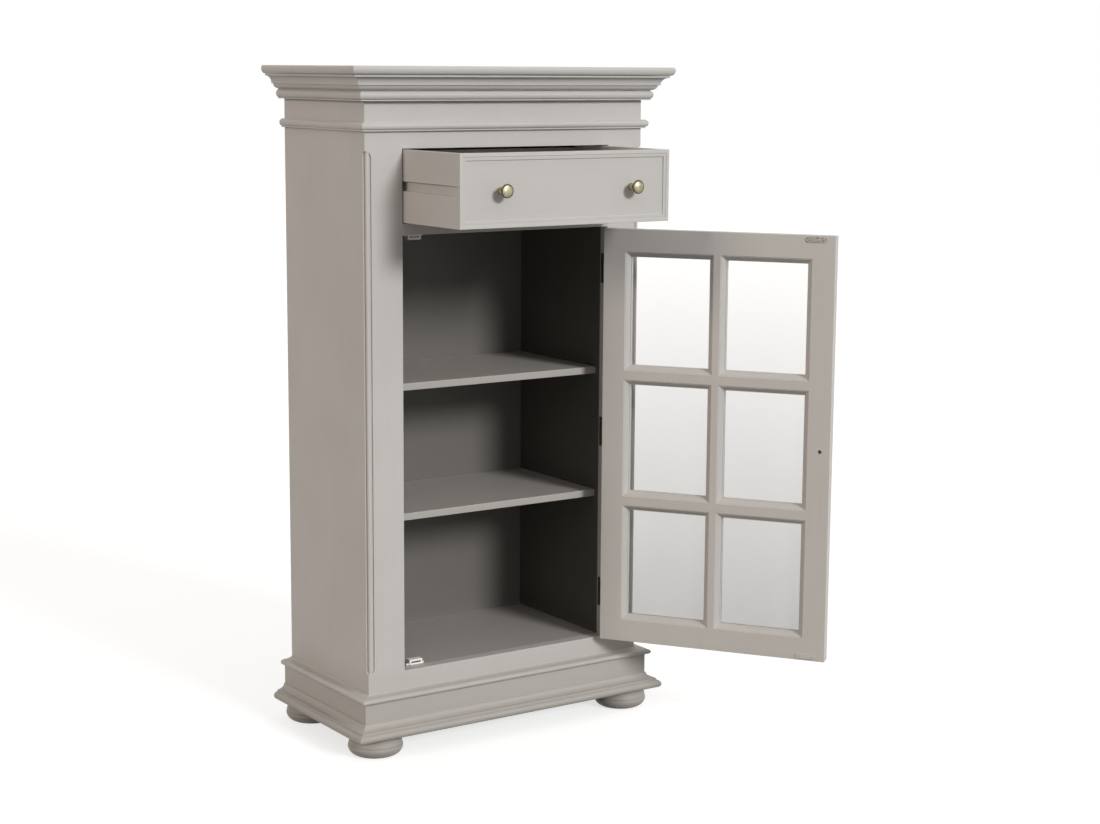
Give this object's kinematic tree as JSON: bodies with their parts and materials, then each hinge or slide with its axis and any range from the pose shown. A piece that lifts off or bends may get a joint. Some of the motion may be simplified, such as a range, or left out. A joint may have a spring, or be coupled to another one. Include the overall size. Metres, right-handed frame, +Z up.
{
  "type": "bonnetiere cabinet",
  "caption": "Tall narrow painted wood cabinet with a stepped cornice, a drawer over a glazed door, shelves inside and turned bun feet.",
  "frame": {"origin": "on the floor, under the middle of the box that holds the part as it stands, with its drawer out and its door open", "axes": "+Z up, -Y out of the cabinet's front, +X to the right of someone who faces the front"},
  "size_m": [0.9496, 0.7904, 1.418],
  "materials": {
    "painted_wood": "satin warm grey paint",
    "painted_inside": "satin warm grey paint",
    "clear_glass": "clear polished",
    "aged_brass": "aged satin",
    "dark_steel": "dark satin",
    "plain_steel": "satin",
    "catch_plastic": "satin white"
  },
  "bodies": {
    "carcass": {"corner_post_left": "painted_wood", "corner_post_right": "painted_wood", "side_panel_left": "painted_wood", "side_panel_right": "painted_wood", "inner_side_left": "painted_inside", "inner_side_right": "painted_inside", "back_panel": "painted_inside", "floor_board": "painted_inside", "shelf_lower": "painted_inside", "shelf_upper": "painted_inside", "dust_board": "painted_inside", "top_rail": "painted_wood", "mid_rail": "painted_wood", "bottom_rail": "painted_wood", "plinth_front": "painted_wood", "plinth_left": "painted_wood", "plinth_right": "painted_wood", "neck_bead_front": "painted_wood", "neck_bead_left": "painted_wood", "neck_bead_right": "painted_wood", "cornice_front": "painted_wood", "cornice_left": "painted_wood", "cornice_right": "painted_wood", "top_board": "painted_wood", "bun_foot_front_left": "painted_wood", "bun_foot_front_right": "painted_wood", "bun_foot_rear_left": "painted_wood", "bun_foot_rear_right": "painted_wood", "drawer_runner_left": "painted_inside", "drawer_runner_right": "painted_inside", "hinge_leaf_fixed_lower": "aged_brass", "hinge_leaf_fixed_middle": "aged_brass", "hinge_leaf_fixed_upper": "aged_brass", "magnetic_catch_bottom": "catch_plastic", "magnetic_catch_top": "catch_plastic"},
    "drawer": {"drawer_front": "painted_wood", "drawer_side_left": "painted_wood", "drawer_side_right": "painted_wood", "drawer_back": "painted_wood", "drawer_bottom": "painted_wood", "drawer_knob_left": "aged_brass", "drawer_knob_right": "aged_brass"},
    "door": {"door_stile_free": "painted_wood", "door_stile_hinged": "painted_wood", "door_rail_top": "painted_wood", "door_rail_bottom": "painted_wood", "glazing_bars": "painted_wood", "glass_bottom_left": "clear_glass", "glass_bottom_right": "clear_glass", "glass_middle_left": "clear_glass", "glass_middle_right": "clear_glass", "glass_top_left": "clear_glass", "glass_top_right": "clear_glass", "door_knob": "aged_brass", "door_knob_screw": "dark_steel", "strike_plate_bottom": "plain_steel", "strike_plate_top": "plain_steel", "hinge_leaf_door_lower": "aged_brass", "hinge_leaf_door_middle": "aged_brass", "hinge_leaf_door_upper": "aged_brass"}
  },
  "joints": [
    {"name": "drawer_slide", "type": "slide", "parent": "carcass", "child": "drawer", "axis": [0, -1, 0], "range_m": [-0.218, 0.042]},
    {"name": "door_hinge", "type": "hinge", "parent": "carcass", "child": "door", "pos_m": [0.17093, 0.03517, 0.63], "axis": [0, 0, 1], "range_deg": [-125, 45]}
  ]
}
